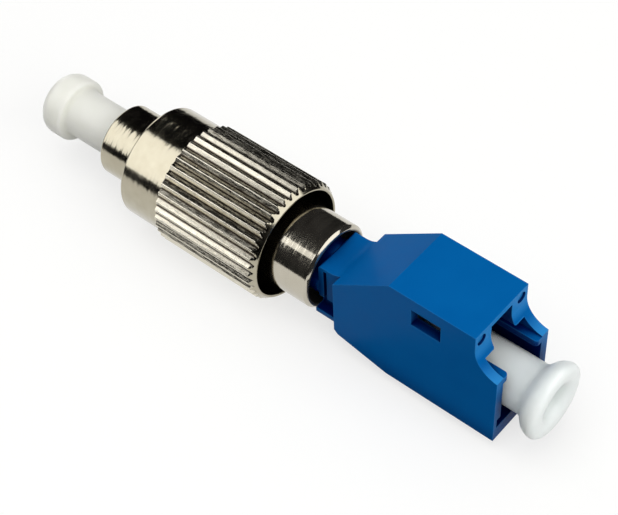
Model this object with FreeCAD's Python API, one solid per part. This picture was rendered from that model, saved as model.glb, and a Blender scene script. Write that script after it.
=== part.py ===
import FreeCAD, Part
import math
import os

# Fibre adapter that turns a threaded meter port with a 2.5 mm ferrule into a latching
# socket for 1.25 mm ferrules, with a dust cap on each end.
# Millimetres. The optical axis is X, the plug end points to -X and the socket end to +X,
# the latch side of the socket is +Z. x = 0 lies just behind the front face of the plug barrel.

Vector = FreeCAD.Vector
AXIS_POINT = Vector(0, 0, 0)
AXIS = Vector(1, 0, 0)

# Fits: radial play of a running fit, gap between faces that never touch, end gap of a seat
RUNNING_PLAY = 0.03
FREE_GAP = 0.15
SEAT_GAP = 0.05

# How far a cutter reaches past the face that it opens
CUT_MARGIN = 1.0

# Straight steps in a quarter round of a dust cap
ROUND_STEPS = 3

# Plug barrel
BARREL_RADIUS = 3.0
BARREL_BORE = 2.25
BARREL_FRONT = -0.3
BARREL_LIP_START = 3.4
BARREL_LIP_END = 4.0
BARREL_FLANGE_START = 8.0
BARREL_FLANGE_END = 8.9
BARREL_FLANGE_RADIUS = 3.45
BARREL_EDGE = 0.2
STEM_RADIUS = 2.7
STEM_END = 17.0
KEY_WIDTH = 2.0
KEY_HEIGHT = 0.42
KEY_START = 0.5
KEY_END = 3.0

# Coupling nut
NUT_START = 3.6
NUT_END = 17.5
NUT_EDGE = 0.15
NUT_COLLAR_RADIUS = 4.65
KNURL_START = 7.5
KNURL_STEP = 0.1
KNURL_RADIUS = 5.0
KNURL_TEETH = 40
GROOVE_WIDTH = 0.68
GROOVE_DEPTH = 0.3
RIM_CHAMFER = 0.47
RIM_DROP = 0.3
THREAD_MINOR_RADIUS = 3.6
THREAD_LEAD_IN = 0.4
NUT_SHOULDER_START = 9.2
NUT_SHOULDER_END = 10.6
BELL_RADIUS = 4.45
BELL_EDGE = 0.06

# Rear sleeve
SLEEVE_RADIUS = 3.5
SLEEVE_START = 12.6
SLEEVE_END = 21.3
SLEEVE_MOUTH_RADIUS = 3.08
SLEEVE_MOUTH_DEPTH = 1.8
SLEEVE_CHAMFER = 0.22

# Ferrules and what carries them
FERRULE_RADIUS = 1.25
FERRULE_TIP = -4.2
FERRULE_SEAT = 6.3
SMALL_FERRULE_RADIUS = 0.625
SMALL_FERRULE_TIP = 28.2
SMALL_FERRULE_ROOT = 21.7
FERRULE_CHAMFER = 0.25
FLANGE_RADIUS = 2.1
FLANGE_START = BARREL_LIP_END + SEAT_GAP
FLANGE_END = 5.6
COLLAR_RADIUS = 1.5
COLLAR_END = 7.2
TAIL_RADIUS = 1.1
TAIL_END = 23.7
TAIL_BORE = 0.3

# Spring behind the ferrule flange
SPRING_RADIUS = 1.8
SPRING_WIRE_RADIUS = 0.17
SPRING_TURNS = 6.5
SPRING_STEPS = 65
WIRE_SIDES = 6

# Holder of the split sleeve, and the split sleeve
HOLDER_START = 12.2
HOLDER_RIM_END = 17.8
HOLDER_RADIUS = 1.6
HOLDER_SEAT = 24.6
NOSE_RADIUS = 1.45
NOSE_END = 32.0
NOSE_EDGE = 0.15
NOSE_LIP = 0.3
SPLIT_SLEEVE_RADIUS = 0.81
SPLIT_SLEEVE_LENGTH = 6.8
SPLIT_SLEEVE_SLIT = 0.3

# Socket housing
HOUSING_HALF_WIDTH = 3.04
HOUSING_REAR = 23.55
HOUSING_FRONT = 38.0
ROOF_TOP = 6.4
ROOF_REAR = 28.65
ROOF_FRONT = 36.03
ROOF_WALL = 0.5
SLOPE_FOOT = 2.65
FLOOR_BOTTOM = -3.9
FLOOR_TAPER_END = 28.4
REAR_BOTTOM = -2.9
REAR_CHAMFER = 0.35
SWOOP_RADIUS = 2.2
SWOOP_TOP = 5.05
CAVITY_REAR = 27.0
CAVITY_HALF_WIDTH = 2.28
CAVITY_FLOOR = -2.64
CAVITY_SLOPE_FOOT = 4.2
FOOT_GROOVE_HALF_WIDTH = 2.7
FOOT_GROOVE_TOP = -1.7
RAIL_HALF_GAP = 1.68
RAIL_BOTTOM = 2.2
RAIL_TOP = 2.76
RAIL_NOSE_ROUND = 0.3
CATCH_HALF_GAP = 1.2
CATCH_BOTTOM = 3.8
CATCH_TIP_ROUND = 0.15
PIN_MARK_RADIUS = 0.47
PIN_MARK_DEPTH = 0.18
PIN_MARK_SIDE = 2.31
PIN_MARK_HEIGHT = 5.6
WINDOW_REAR = 30.6
WINDOW_FRONT = 33.15
WINDOW_BOTTOM = 3.65
WINDOW_TOP = 5.28
NECK_START = 21.45
NECK_HALF_WIDTH = 2.1
NECK_TOP = 2.3
NECK_BLEND_RADIUS = 1.7
NECK_EDGE = 0.2
NECK_OVERLAP = 0.5
COLLAR_THICKNESS = 0.45
NECK_SLOT_WIDTH = 0.3
NECK_SLOT_DEPTH = 0.3
LEDGE_START = 21.4
LEDGE_HALF_WIDTH = 2.5
LEDGE_TOP = -2.1
POCKET_HALF_WIDTH = 1.75
POCKET_TOP = -1.0
SPIGOT_RADIUS = STEM_RADIUS
SPIGOT_WAIST_RADIUS = 2.2

# Dust cap of the plug end
PLUG_CAP_HEAD_RADIUS = 2.65
PLUG_CAP_HEAD_START = -7.55
PLUG_CAP_HEAD_END = -5.15
PLUG_CAP_NECK_RADIUS = 2.0
PLUG_CAP_MOUTH = 2.4
PLUG_CAP_BORE_END = -5.2
PLUG_CAP_FRONT_ROUND = 1.0
PLUG_CAP_BACK_ROUND = 0.5

# Dust cap of the socket end
SOCKET_CAP_NECK_RADIUS = 2.05
SOCKET_CAP_MOUTH = 27.8
SOCKET_CAP_BORE_END = 33.0
SOCKET_CAP_DISH_END = 37.6
SOCKET_CAP_DISH_RADIUS = 1.0
SOCKET_CAP_FACE = 41.15
SOCKET_CAP_RIM_RADIUS = 3.05
SOCKET_CAP_RIM_START = 39.75
SOCKET_CAP_RIM_ROUND = 0.65
SOCKET_CAP_FILLET = 0.6
SOCKET_CAP_DISH_MOUTH = 1.55


def turned(profile):
    """Solid of revolution about the optical axis of an outline of (x, radius) points."""
    points = [Vector(x, 0, radius) for x, radius in profile]
    face = Part.Face(Part.makePolygon(points + points[:1]))
    return face.revolve(AXIS_POINT, AXIS, 360)


def slab(outline, half_width):
    """Solid of a side outline of (x, z) points, as wide as twice half_width."""
    points = [Vector(x, -half_width, z) for x, z in outline]
    face = Part.Face(Part.makePolygon(points + points[:1]))
    return face.extrude(Vector(0, 2 * half_width, 0))


def block(low, high):
    """Box between two opposite corners."""
    size = [b - a for a, b in zip(low, high)]
    return Part.makeBox(*size, Vector(*low))


def both_sides(solid):
    """A solid and its mirror image across the middle plane of the adapter."""
    return [solid, solid.mirror(AXIS_POINT, Vector(0, 1, 0))]


def rounded(middle, radius, from_degrees, to_degrees):
    """Points of a round in an outline of (x, radius) points, about its middle."""
    points = []
    for step in range(ROUND_STEPS + 1):
        angle = math.radians(from_degrees + (to_degrees - from_degrees) * step / ROUND_STEPS)
        points.append((middle[0] + radius * math.cos(angle), middle[1] + radius * math.sin(angle)))
    return points


def rounded_inside(solid, radius, low, high):
    """Solid with a fillet on every edge that lies inside the box between two corners."""
    region = FreeCAD.BoundBox(*low, *high)
    edges = [edge for edge in solid.Edges if region.isInside(edge.BoundBox)]
    return solid.makeFillet(radius, edges)


def plug_barrel():
    """Front tube with its key, the flange that holds the nut, and the stem behind it."""
    lip_radius = FERRULE_RADIUS + FREE_GAP
    barrel = turned([
        (BARREL_FRONT, BARREL_BORE + BARREL_EDGE),
        (BARREL_FRONT, BARREL_RADIUS - BARREL_EDGE),
        (BARREL_FRONT + BARREL_EDGE, BARREL_RADIUS),
        (BARREL_FLANGE_START, BARREL_RADIUS),
        (BARREL_FLANGE_START, BARREL_FLANGE_RADIUS),
        (BARREL_FLANGE_END, BARREL_FLANGE_RADIUS),
        (BARREL_FLANGE_END, BARREL_RADIUS),
        (SLEEVE_START, BARREL_RADIUS),
        (SLEEVE_START, STEM_RADIUS),
        (STEM_END, STEM_RADIUS),
        (STEM_END, BARREL_BORE),
        (BARREL_LIP_END, BARREL_BORE),
        (BARREL_LIP_END, lip_radius),
        (BARREL_LIP_START, lip_radius),
        (BARREL_LIP_START, BARREL_BORE),
        (BARREL_FRONT + BARREL_EDGE, BARREL_BORE),
    ])
    key_root = (BARREL_BORE + BARREL_RADIUS) / 2
    key = block((KEY_START, -KEY_WIDTH / 2, -BARREL_RADIUS - KEY_HEIGHT),
                (KEY_END, KEY_WIDTH / 2, -key_root))
    return barrel.fuse(key).removeSplitter()


def knurl_grooves():
    """V grooves cut all round the grip of the nut, open at both of its ends."""
    overshoot = 0.2
    spread = 1 + overshoot / GROOVE_DEPTH
    half_width = spread * GROOVE_WIDTH / 2
    top = KNURL_RADIUS + overshoot
    start = KNURL_START - overshoot
    points = [
        Vector(start, -half_width, top),
        Vector(start, half_width, top),
        Vector(start, 0, KNURL_RADIUS - GROOVE_DEPTH),
    ]
    face = Part.Face(Part.makePolygon(points + points[:1]))
    groove = face.extrude(Vector(NUT_END + overshoot - start, 0, 0))
    grooves = []
    for tooth in range(KNURL_TEETH):
        turned_groove = groove.copy()
        turned_groove.rotate(AXIS_POINT, AXIS, 360 * tooth / KNURL_TEETH)
        grooves.append(turned_groove)
    return grooves


def coupling_nut():
    """Knurled nut: threaded front, shoulder that runs on the barrel, open bell at the back."""
    nut = turned([
        (NUT_START, THREAD_MINOR_RADIUS + THREAD_LEAD_IN),
        (NUT_START, NUT_COLLAR_RADIUS - NUT_EDGE),
        (NUT_START + NUT_EDGE, NUT_COLLAR_RADIUS),
        (KNURL_START, NUT_COLLAR_RADIUS),
        (KNURL_START + KNURL_STEP, KNURL_RADIUS),
        (NUT_END - RIM_CHAMFER, KNURL_RADIUS),
        (NUT_END, KNURL_RADIUS - RIM_DROP),
        (NUT_END, BELL_RADIUS + BELL_EDGE),
        (NUT_END - BELL_EDGE, BELL_RADIUS),
        (NUT_SHOULDER_END, BELL_RADIUS),
        (NUT_SHOULDER_END, BARREL_RADIUS + 2 * RUNNING_PLAY),
        (NUT_SHOULDER_START, BARREL_RADIUS + 2 * RUNNING_PLAY),
        (NUT_SHOULDER_START, THREAD_MINOR_RADIUS),
        (NUT_START + THREAD_LEAD_IN, THREAD_MINOR_RADIUS),
    ])
    return nut.cut(knurl_grooves())


def rear_sleeve():
    """Polished sleeve on the stem, with a wider mouth that takes the neck of the housing."""
    mouth_start = SLEEVE_END - SLEEVE_MOUTH_DEPTH
    return turned([
        (SLEEVE_START, STEM_RADIUS),
        (SLEEVE_START, SLEEVE_RADIUS - SLEEVE_CHAMFER),
        (SLEEVE_START + SLEEVE_CHAMFER, SLEEVE_RADIUS),
        (SLEEVE_END - SLEEVE_CHAMFER, SLEEVE_RADIUS),
        (SLEEVE_END, SLEEVE_RADIUS - SLEEVE_CHAMFER),
        (SLEEVE_END, SLEEVE_MOUTH_RADIUS),
        (mouth_start, SLEEVE_MOUTH_RADIUS),
        (mouth_start, STEM_RADIUS),
    ])


def ferrule(tip, root, radius):
    """Ceramic ferrule with a chamfered tip; the fibre bore is too fine to draw."""
    toward_root = math.copysign(FERRULE_CHAMFER, root - tip)
    return turned([
        (tip, 0),
        (tip, radius - FERRULE_CHAMFER),
        (tip + toward_root, radius),
        (root, radius),
        (root, 0),
    ])


def ferrule_flange():
    """Metal carrier pressed on both ferrules: a flange on the lip, and a tail to the socket."""
    return turned([
        (FLANGE_START, FERRULE_RADIUS),
        (FLANGE_START, FLANGE_RADIUS),
        (FLANGE_END, FLANGE_RADIUS),
        (FLANGE_END, COLLAR_RADIUS),
        (COLLAR_END, COLLAR_RADIUS),
        (COLLAR_END, TAIL_RADIUS),
        (TAIL_END, TAIL_RADIUS),
        (TAIL_END, SMALL_FERRULE_RADIUS),
        (SMALL_FERRULE_ROOT, SMALL_FERRULE_RADIUS),
        (SMALL_FERRULE_ROOT, TAIL_BORE),
        (FERRULE_SEAT, TAIL_BORE),
        (FERRULE_SEAT, FERRULE_RADIUS),
    ])


def wire_section(along, turn):
    """Cross-section of the spring wire as a closed outline, at a place and turn of the coil."""
    outward = Vector(0, math.cos(turn), math.sin(turn))
    middle = outward * SPRING_RADIUS + AXIS * along
    corners = []
    for side in range(WIRE_SIDES):
        angle = 2 * math.pi * side / WIRE_SIDES
        corners.append(middle + (outward * math.cos(angle) + AXIS * math.sin(angle)) * SPRING_WIRE_RADIUS)
    return Part.makePolygon(corners + corners[:1])


def ferrule_spring():
    """Coil that pushes the ferrules forward, between the flange and the sleeve holder."""
    start = FLANGE_END + SEAT_GAP + SPRING_WIRE_RADIUS
    length = HOLDER_START - SEAT_GAP - SPRING_WIRE_RADIUS - start
    sections = []
    for step in range(SPRING_STEPS + 1):
        share = step / SPRING_STEPS
        sections.append(wire_section(start + share * length, share * SPRING_TURNS * 2 * math.pi))
    return Part.makeLoft(sections, True, True)


def lc_sleeve_holder():
    """Stepped tube: plug and rim held by the stem and sleeve, nose that stands in the socket."""
    tail_bore = TAIL_RADIUS + 2 * RUNNING_PLAY
    split_bore = SPLIT_SLEEVE_RADIUS + RUNNING_PLAY
    return turned([
        (HOLDER_START, tail_bore),
        (HOLDER_START, BARREL_BORE),
        (STEM_END, BARREL_BORE),
        (STEM_END, STEM_RADIUS),
        (HOLDER_RIM_END, STEM_RADIUS),
        (HOLDER_RIM_END, HOLDER_RADIUS),
        (CAVITY_REAR, HOLDER_RADIUS),
        (CAVITY_REAR, NOSE_RADIUS),
        (NOSE_END - NOSE_EDGE, NOSE_RADIUS),
        (NOSE_END, NOSE_RADIUS - NOSE_EDGE),
        (NOSE_END, SMALL_FERRULE_RADIUS + FREE_GAP),
        (NOSE_END - NOSE_LIP, SMALL_FERRULE_RADIUS + RUNNING_PLAY),
        (NOSE_END - NOSE_LIP, split_bore),
        (HOLDER_SEAT, split_bore),
        (HOLDER_SEAT, tail_bore),
    ])


def split_sleeve():
    """Ceramic alignment sleeve with its slit on the latch side."""
    inner = SMALL_FERRULE_RADIUS + RUNNING_PLAY
    start = NOSE_END - NOSE_LIP - SEAT_GAP - SPLIT_SLEEVE_LENGTH
    end = start + SPLIT_SLEEVE_LENGTH
    sleeve = turned([
        (start, inner),
        (start, SPLIT_SLEEVE_RADIUS),
        (end, SPLIT_SLEEVE_RADIUS),
        (end, inner),
    ])
    slit = block((start, -SPLIT_SLEEVE_SLIT / 2, 0),
                 (end, SPLIT_SLEEVE_SLIT / 2, SPLIT_SLEEVE_RADIUS + CUT_MARGIN))
    return sleeve.cut(slit)


def housing_outline():
    """Side view of the socket as a face: sloped back, flat roof, scooped front, tapered floor."""
    swoop_middle = Vector(ROOF_FRONT + SWOOP_RADIUS, 0, SWOOP_TOP)
    lip_drop = math.sqrt(SWOOP_RADIUS ** 2 - (swoop_middle.x - HOUSING_FRONT) ** 2)
    lip = Vector(HOUSING_FRONT, 0, SWOOP_TOP - lip_drop)
    swoop_start = Vector(ROOF_FRONT, 0, SWOOP_TOP)
    slant = math.radians(225)
    swoop_via = swoop_middle + Vector(math.cos(slant), 0, math.sin(slant)) * SWOOP_RADIUS
    corners = [
        lip,
        Vector(HOUSING_FRONT, 0, FLOOR_BOTTOM),
        Vector(FLOOR_TAPER_END, 0, FLOOR_BOTTOM),
        Vector(HOUSING_REAR + REAR_CHAMFER, 0, REAR_BOTTOM),
        Vector(HOUSING_REAR, 0, REAR_BOTTOM + REAR_CHAMFER),
        Vector(HOUSING_REAR, 0, SLOPE_FOOT),
        Vector(ROOF_REAR, 0, ROOF_TOP),
        Vector(ROOF_FRONT, 0, ROOF_TOP),
        swoop_start,
    ]
    edges = Part.makePolygon(corners).Edges
    swoop = Part.Arc(swoop_start, swoop_via, lip).toShape()
    face = Part.Face(Part.Wire(edges + [swoop]))
    face.translate(Vector(0, -HOUSING_HALF_WIDTH, 0))
    return face


def socket_cavity():
    """Space for the mating plug and its latch, open at the front and wider along the floor."""
    past_front = HOUSING_FRONT + CUT_MARGIN
    ceiling = ROOF_TOP - ROOF_WALL
    slope = (ROOF_TOP - SLOPE_FOOT) / (ROOF_REAR - HOUSING_REAR)
    ceiling_start = CAVITY_REAR + (ceiling - CAVITY_SLOPE_FOOT) / slope
    room = slab([
        (CAVITY_REAR, CAVITY_FLOOR),
        (past_front, CAVITY_FLOOR),
        (past_front, ceiling),
        (ceiling_start, ceiling),
        (CAVITY_REAR, CAVITY_SLOPE_FOOT),
    ], CAVITY_HALF_WIDTH)
    foot_groove = block((CAVITY_REAR, -FOOT_GROOVE_HALF_WIDTH, CAVITY_FLOOR),
                        (past_front, FOOT_GROOVE_HALF_WIDTH, FOOT_GROOVE_TOP))
    return room.fuse(foot_groove)


def neck_blend():
    """Hollow curve that carries the flat top of the neck up into the slope of the socket."""
    incline = math.atan2(ROOF_TOP - SLOPE_FOOT, ROOF_REAR - HOUSING_REAR)
    corner_x = HOUSING_REAR - (SLOPE_FOOT - NECK_TOP) / math.tan(incline)
    reach = NECK_BLEND_RADIUS * math.tan(incline / 2)
    low = Vector(corner_x - reach, -NECK_HALF_WIDTH, NECK_TOP)
    middle = low + Vector(0, 0, NECK_BLEND_RADIUS)
    via = middle + Vector(math.sin(incline / 2), 0, -math.cos(incline / 2)) * NECK_BLEND_RADIUS
    high = middle + Vector(math.sin(incline), 0, -math.cos(incline)) * NECK_BLEND_RADIUS
    foot = Vector(HOUSING_REAR, -NECK_HALF_WIDTH, SLOPE_FOOT)
    below_foot = Vector(HOUSING_REAR, -NECK_HALF_WIDTH, NECK_TOP)
    edges = Part.makePolygon([high, foot, below_foot, low]).Edges
    curve = Part.Arc(low, via, high).toShape()
    return Part.Face(Part.Wire(edges + [curve])).extrude(Vector(0, 2 * NECK_HALF_WIDTH, 0))


def housing_neck():
    """Neck between the socket and the sleeve: flat top, side slots, pockets, ledge, spigot."""
    rear = HOUSING_REAR + NECK_OVERLAP
    bottom = REAR_BOTTOM + REAR_CHAMFER
    core = block((NECK_START, -NECK_HALF_WIDTH, POCKET_TOP), (rear, NECK_HALF_WIDTH, NECK_TOP))
    core = rounded_inside(core, NECK_EDGE,
                          (NECK_START - NECK_EDGE, -rear, NECK_TOP - NECK_EDGE),
                          (NECK_START + NECK_EDGE, rear, NECK_TOP + NECK_EDGE))
    slot_start = NECK_START + COLLAR_THICKNESS
    slot = block((slot_start, NECK_HALF_WIDTH - NECK_SLOT_DEPTH, POCKET_TOP),
                 (slot_start + NECK_SLOT_WIDTH, NECK_HALF_WIDTH, NECK_TOP - NECK_SLOT_DEPTH))
    web = block((NECK_START, -POCKET_HALF_WIDTH, bottom), (rear, POCKET_HALF_WIDTH, POCKET_TOP))
    ledge = block((LEDGE_START, -LEDGE_HALF_WIDTH, bottom), (rear, LEDGE_HALF_WIDTH, LEDGE_TOP))
    waist_start = SLEEVE_END - SLEEVE_MOUTH_DEPTH
    spigot = turned([
        (HOLDER_RIM_END, 0),
        (HOLDER_RIM_END, SPIGOT_RADIUS),
        (waist_start, SPIGOT_RADIUS),
        (waist_start, SPIGOT_WAIST_RADIUS),
        (NECK_START, SPIGOT_WAIST_RADIUS),
        (NECK_START, 0),
    ])
    return core.cut(both_sides(slot)).fuse([neck_blend(), web, ledge, spigot])


def guide_rail():
    """Rail on one side of the cavity, with a rounded nose at the front."""
    rail = block((CAVITY_REAR, RAIL_HALF_GAP, RAIL_BOTTOM),
                 (HOUSING_FRONT, HOUSING_HALF_WIDTH, RAIL_TOP))
    return rounded_inside(rail, RAIL_NOSE_ROUND,
                          (HOUSING_FRONT - SEAT_GAP, RAIL_HALF_GAP - SEAT_GAP, RAIL_BOTTOM - SEAT_GAP),
                          (HOUSING_FRONT + SEAT_GAP, RAIL_HALF_GAP + SEAT_GAP, RAIL_TOP + SEAT_GAP))


def latch_catch():
    """Block in one upper corner that the latch of the plug snaps behind."""
    catch = block((WINDOW_FRONT, CATCH_HALF_GAP, CATCH_BOTTOM),
                  (HOUSING_FRONT, HOUSING_HALF_WIDTH, ROOF_TOP))
    return rounded_inside(catch, CATCH_TIP_ROUND,
                          (WINDOW_FRONT - SEAT_GAP, CATCH_HALF_GAP - SEAT_GAP, CATCH_BOTTOM - SEAT_GAP),
                          (HOUSING_FRONT + SEAT_GAP, CATCH_HALF_GAP + SEAT_GAP, CATCH_BOTTOM + SEAT_GAP))


def lc_housing():
    """Moulded socket: outer shell, cavity with guide rails, latch catches, windows and neck."""
    outside = housing_outline().extrude(Vector(0, 2 * HOUSING_HALF_WIDTH, 0))
    shell = outside.cut(socket_cavity())
    catch = latch_catch().common(outside)
    housing = shell.fuse(both_sides(guide_rail()) + both_sides(catch) + [housing_neck()])
    window = block((WINDOW_REAR, CAVITY_HALF_WIDTH - CUT_MARGIN, WINDOW_BOTTOM),
                   (WINDOW_FRONT, HOUSING_HALF_WIDTH + CUT_MARGIN, WINDOW_TOP))
    pin_mark = Part.makeCylinder(PIN_MARK_RADIUS, PIN_MARK_DEPTH + CUT_MARGIN,
                                 Vector(ROOF_FRONT - PIN_MARK_DEPTH, PIN_MARK_SIDE, PIN_MARK_HEIGHT), AXIS)
    holder_bore = Part.makeCylinder(HOLDER_RADIUS, CAVITY_REAR - HOLDER_RIM_END,
                                    Vector(HOLDER_RIM_END, 0, 0), AXIS)
    return housing.cut(both_sides(window) + both_sides(pin_mark) + [holder_bore]).removeSplitter()


def fc_dust_cap():
    """Soft cap on the large ferrule: mushroom head and a neck that slips into the barrel."""
    bore = FERRULE_RADIUS + RUNNING_PLAY
    front_middle = (PLUG_CAP_HEAD_START + PLUG_CAP_FRONT_ROUND, PLUG_CAP_HEAD_RADIUS - PLUG_CAP_FRONT_ROUND)
    back_middle = (PLUG_CAP_HEAD_END - PLUG_CAP_BACK_ROUND, PLUG_CAP_HEAD_RADIUS - PLUG_CAP_BACK_ROUND)
    return turned([
        (PLUG_CAP_HEAD_START, 0),
        *rounded(front_middle, PLUG_CAP_FRONT_ROUND, 180, 90),
        *rounded(back_middle, PLUG_CAP_BACK_ROUND, 90, 0),
        (PLUG_CAP_HEAD_END, PLUG_CAP_NECK_RADIUS),
        (PLUG_CAP_MOUTH, PLUG_CAP_NECK_RADIUS),
        (PLUG_CAP_MOUTH, bore),
        (PLUG_CAP_BORE_END, bore),
        (PLUG_CAP_BORE_END, 0),
    ])


def lc_dust_cap():
    """Soft cap in the socket: tube over the nose, flared rim with a dished hole."""
    bore = NOSE_RADIUS + RUNNING_PLAY
    fillet_middle = (SOCKET_CAP_RIM_START - SOCKET_CAP_FILLET, SOCKET_CAP_NECK_RADIUS + SOCKET_CAP_FILLET)
    rim_round_radius = SOCKET_CAP_RIM_RADIUS - SOCKET_CAP_RIM_ROUND
    back_middle = (SOCKET_CAP_RIM_START + SOCKET_CAP_RIM_ROUND, rim_round_radius)
    face_middle = (SOCKET_CAP_FACE - SOCKET_CAP_RIM_ROUND, rim_round_radius)
    return turned([
        (SOCKET_CAP_MOUTH, bore),
        (SOCKET_CAP_MOUTH, SOCKET_CAP_NECK_RADIUS),
        *rounded(fillet_middle, SOCKET_CAP_FILLET, -90, 0),
        *rounded(back_middle, SOCKET_CAP_RIM_ROUND, 180, 90),
        *rounded(face_middle, SOCKET_CAP_RIM_ROUND, 90, 0),
        (SOCKET_CAP_FACE, SOCKET_CAP_DISH_MOUTH),
        (SOCKET_CAP_RIM_START, SOCKET_CAP_DISH_RADIUS),
        (SOCKET_CAP_DISH_END, SOCKET_CAP_DISH_RADIUS),
        (SOCKET_CAP_DISH_END, 0),
        (SOCKET_CAP_BORE_END, 0),
        (SOCKET_CAP_BORE_END, bore),
    ])


NODES = {
    "plug_barrel": plug_barrel(),
    "coupling_nut": coupling_nut(),
    "rear_sleeve": rear_sleeve(),
    "ferrule_fc": ferrule(FERRULE_TIP, FERRULE_SEAT, FERRULE_RADIUS),
    "ferrule_lc": ferrule(SMALL_FERRULE_TIP, SMALL_FERRULE_ROOT, SMALL_FERRULE_RADIUS),
    "ferrule_flange": ferrule_flange(),
    "ferrule_spring": ferrule_spring(),
    "lc_sleeve_holder": lc_sleeve_holder(),
    "split_sleeve": split_sleeve(),
    "lc_housing": lc_housing(),
    "fc_dust_cap": fc_dust_cap(),
    "lc_dust_cap": lc_dust_cap(),
}

os.makedirs("parts", exist_ok=True)
for name, solid in NODES.items():
    solid.exportStep(f"parts/{name}.step")
    print(f"{name}: {len(solid.Solids)} solid, valid {solid.isValid()}, {solid.Volume:.2f} mm3")
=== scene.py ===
# %% [markdown]
# Lesson: dressing a fibre adapter.
# The adapter joins two optical connectors: a threaded plug end with a knurled nut and a blue
# latching socket end, each closed by a soft dust cap. Its solids come from the imported model at
# their real size, so nothing here is fitted by eye. The box of the solids is kept now; it places
# the table, the cards and the lamps, and it is printed at the end.

# %% Load the imported model
import math

import bpy
import numpy as np
from mathutils import Matrix, Vector


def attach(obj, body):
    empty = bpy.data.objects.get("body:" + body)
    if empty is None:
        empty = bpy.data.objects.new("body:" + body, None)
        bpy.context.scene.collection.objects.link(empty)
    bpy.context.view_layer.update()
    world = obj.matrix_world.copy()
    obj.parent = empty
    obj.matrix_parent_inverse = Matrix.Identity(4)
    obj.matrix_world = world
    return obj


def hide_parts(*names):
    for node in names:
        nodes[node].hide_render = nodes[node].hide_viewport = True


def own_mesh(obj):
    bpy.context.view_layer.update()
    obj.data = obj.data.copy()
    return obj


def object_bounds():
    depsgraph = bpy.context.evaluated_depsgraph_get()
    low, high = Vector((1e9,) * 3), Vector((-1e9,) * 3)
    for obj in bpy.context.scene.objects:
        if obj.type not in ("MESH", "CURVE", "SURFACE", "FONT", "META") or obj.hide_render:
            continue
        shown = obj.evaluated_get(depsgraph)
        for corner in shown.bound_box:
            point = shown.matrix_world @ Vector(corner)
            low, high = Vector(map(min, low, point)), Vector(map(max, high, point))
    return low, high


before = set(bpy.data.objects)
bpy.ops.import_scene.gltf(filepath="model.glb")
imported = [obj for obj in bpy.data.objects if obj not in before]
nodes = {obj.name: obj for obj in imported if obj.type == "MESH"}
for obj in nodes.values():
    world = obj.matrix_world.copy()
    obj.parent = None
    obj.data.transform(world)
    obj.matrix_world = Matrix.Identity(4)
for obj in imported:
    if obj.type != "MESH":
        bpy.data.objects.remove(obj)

MM = 0.001
cad_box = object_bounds()
print("solids:", ", ".join(sorted(nodes)))

# %% [markdown]
# A few small helpers serve every finish. Paint and plating are written as the hex colours of a
# picture, which are gamma coded, while shaders count in linear light, so one function turns the
# first into the second. Another one adds a shader node with its settings and its links, which
# keeps each finish down to a few readable lines.

# %% Helpers for colours and shader nodes

# Sockets of the colour mix node, whose sockets share their names
COLOUR_A, COLOUR_B, MIXED = 6, 7, 2
# Noise runs from 0 to 1, but most of it lies in this span
NOISE_SPAN = {"From Min": 0.3, "From Max": 0.7}


def linear(hex_colour):
    """Linear RGBA of an sRGB hex colour."""
    coded = [int(hex_colour[start:start + 2], 16) / 255 for start in (1, 3, 5)]
    return [c / 12.92 if c <= 0.04045 else ((c + 0.055) / 1.055) ** 2.4 for c in coded] + [1.0]


def add_node(tree, kind, settings, links):
    """Shader node with its properties and sockets set, and other nodes' outputs linked to it."""
    node = tree.nodes.new(kind)
    for name, value in settings.items():
        if isinstance(name, str) and hasattr(node, name):
            setattr(node, name, value)
        else:
            node.inputs[name].default_value = value
    for name, output in links.items():
        tree.links.new(output, node.inputs[name])
    return node


def start_finish(name, **settings):
    """New material with its shader's even values set, its node tree, and object coordinates."""
    material = bpy.data.materials.new(name)
    material.use_nodes = True
    tree = material.node_tree
    shader = tree.nodes["Principled BSDF"]
    for socket, value in settings.items():
        shader.inputs[socket.replace("_", " ")].default_value = value
    place = add_node(tree, "ShaderNodeTexCoord", {}, {}).outputs["Object"]
    return material, tree, shader, place


def per_mm(size):
    """Pattern scale at which one feature of the pattern is this many millimetres long."""
    return 1 / (size * MM)


print("helpers ready; mid grey #808080 is", round(linear("#808080")[0], 3), "in linear light")

# %% [markdown]
# The nut and the plug barrel are brass, turned on a lathe and plated with nickel. The plating
# copies the fine rings that the tool left, so the metal is not a clean mirror: the edges of a
# reflection fray along the rings, and the plating is a little cloudy. The rings are noise squeezed
# along the axis, because a regular wave would look like a thread.

# %% Nickel plated brass, turned

# Tool rings are about 0.03 mm apart; drawn at 0.35 mm so that they show at this image size
TOOL_RING, RING_LENGTH, RING_RELIEF = 0.35, 2.5, 0.024
PLATING_CLOUD = 0.9

turned_nickel, tree, shader, place = start_finish("nickel_plated_brass_turned", Metallic=1.0)
# Warm grey of nickel over brass, with clouds where the plating is thinner and yellower
clouds = add_node(tree, "ShaderNodeTexNoise",
                  {"Scale": per_mm(PLATING_CLOUD), "Detail": 4.0}, {"Vector": place})
colour = add_node(tree, "ShaderNodeMix",
                  {"data_type": "RGBA", COLOUR_A: linear("#A39C88"), COLOUR_B: linear("#B9B3A1")},
                  {"Factor": clouds.outputs["Fac"]})
tree.links.new(colour.outputs[MIXED], shader.inputs["Base Color"])
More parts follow.
